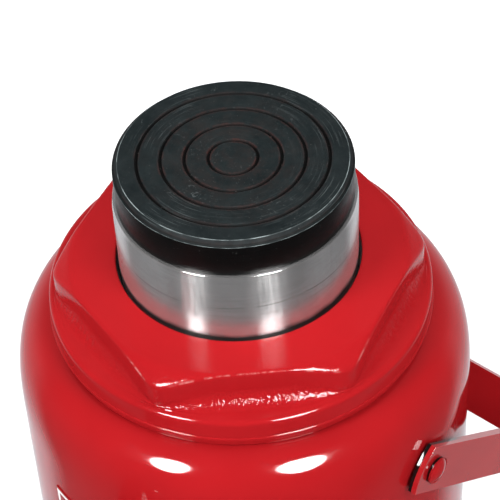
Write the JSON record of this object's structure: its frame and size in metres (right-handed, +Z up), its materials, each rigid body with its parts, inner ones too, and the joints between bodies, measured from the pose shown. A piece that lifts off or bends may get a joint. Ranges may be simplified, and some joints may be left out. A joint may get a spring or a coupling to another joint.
{
  "type": "hydraulic bottle jack",
  "caption": "Hydraulic bottle jack: round oil tank with hexagonal cap, thick ram with ring-grooved saddle, swinging strap bail, and a pump with lever socket on a plate base.",
  "frame": {"origin": "ram axis at the underside of the base plate", "axes": "+Z up along the ram, -Y towards the pump and valves, bail pivots on +X and -X"},
  "size_m": [0.186, 0.3446, 0.3041],
  "materials": {
    "enamel_red": "glossy enamel",
    "cast_red": "glossy enamel over rough casting",
    "bright_steel": "ground and polished",
    "dark_steel": "machined, oiled",
    "zinc_steel": "zinc plated",
    "black_oxide": "black oxide, oiled",
    "rubber_black": "matt",
    "polyurethane": "satin",
    "bronze": "machined",
    "copper": "soft annealed",
    "label": "printed film with a plain white border"
  },
  "bodies": {
    "jack_body": {"base": "enamel_red", "pressure_cylinder": "dark_steel", "cylinder_gasket": "copper", "reservoir_tank": "enamel_red", "tank_gasket_lower": "rubber_black", "tank_gasket_upper": "rubber_black", "top_cap": "cast_red", "cap_o_ring": "rubber_black", "guide_bush": "bronze", "wiper_ring": "rubber_black", "label_plate": "label", "handle_rivet_right": "enamel_red", "handle_rivet_left": "enamel_red", "pump_cylinder": "black_oxide", "pump_washer": "copper", "pump_gland_nut": "zinc_steel", "plunger_seal": "rubber_black", "fulcrum_bracket": "enamel_red", "bracket_bolts": "zinc_steel", "fulcrum_pin": "zinc_steel", "fulcrum_pin_clips": "black_oxide", "release_screw_seal": "rubber_black", "release_gland": "zinc_steel", "suction_retainer": "zinc_steel", "delivery_spring": "bright_steel", "delivery_plug": "zinc_steel", "safety_spring": "bright_steel", "safety_adjuster": "zinc_steel", "safety_cover": "zinc_steel", "inlet_strainer": "bronze", "passage_plugs": "zinc_steel"},
    "ram_assembly": {"ram": "bright_steel", "saddle": "black_oxide", "piston_head": "dark_steel", "piston_cup_seal": "polyurethane", "seal_washer": "dark_steel", "piston_nut": "dark_steel"},
    "bail": {"carry_handle": "enamel_red"},
    "plunger": {"pump_plunger": "bright_steel"},
    "lever": {"handle_socket": "enamel_red", "socket_screw": "zinc_steel", "plunger_pin": "zinc_steel", "plunger_pin_clips": "black_oxide"},
    "release_ball_body": {"release_ball": "bright_steel"},
    "release_valve": {"release_screw": "zinc_steel"},
    "filler": {"filler_plug": "rubber_black"},
    "suction_valve": {"suction_ball": "bright_steel"},
    "delivery_valve": {"delivery_ball": "bright_steel"},
    "safety_valve": {"safety_ball": "bright_steel"}
  },
  "joints": [
    {"name": "ram_lift", "type": "slide", "parent": "jack_body", "child": "ram_assembly", "axis": [0, 0, 1], "range_m": [-0.018, 0.162]},
    {"name": "bail_swing", "type": "hinge", "parent": "jack_body", "child": "bail", "pos_m": [0, 0, 0.203], "axis": [1, 0, 0], "range_deg": [0, 218]},
    {"name": "plunger_stroke", "type": "slide", "parent": "jack_body", "child": "plunger", "axis": [0, 0, 1], "range_m": [0, 0.02462]},
    {"name": "pump_lever", "type": "hinge", "parent": "plunger", "child": "lever", "pos_m": [0, -0.132, 0.122], "axis": [-1, 0, 0], "range_deg": [0, 42]},
    {"name": "release_travel", "type": "slide", "parent": "jack_body", "child": "release_ball_body", "axis": [0, -1, 0], "range_m": [0, 0.003]},
    {"name": "release_turn", "type": "hinge", "parent": "release_ball_body", "child": "release_valve", "pos_m": [-0.058, -0.167, 0.017], "axis": [0, -1, 0], "range_deg": [0, 540]},
    {"name": "filler_pull", "type": "slide", "parent": "jack_body", "child": "filler", "axis": [0, 1, 0], "range_m": [0, 0.014]},
    {"name": "suction_lift", "type": "slide", "parent": "jack_body", "child": "suction_valve", "axis": [0, 0, 1], "range_m": [0, 0.0025]},
    {"name": "delivery_lift", "type": "slide", "parent": "jack_body", "child": "delivery_valve", "axis": [0, 0, 1], "range_m": [0, 0.0012], "stiffness_N_per_m": 300, "springref_m": -0.0005, "deforming": ["delivery_spring"]},
    {"name": "safety_lift", "type": "slide", "parent": "jack_body", "child": "safety_valve", "axis": [0, -1, 0], "range_m": [0, 0.0006], "stiffness_N_per_m": 600, "springref_m": -0.0005}
  ],
  "couplings": [
    {"joint": "plunger_stroke", "follows": "pump_lever", "m_per_rad": 0.033514},
    {"joint": "release_turn", "follows": "release_travel", "rad_per_m": 3141.6}
  ]
}
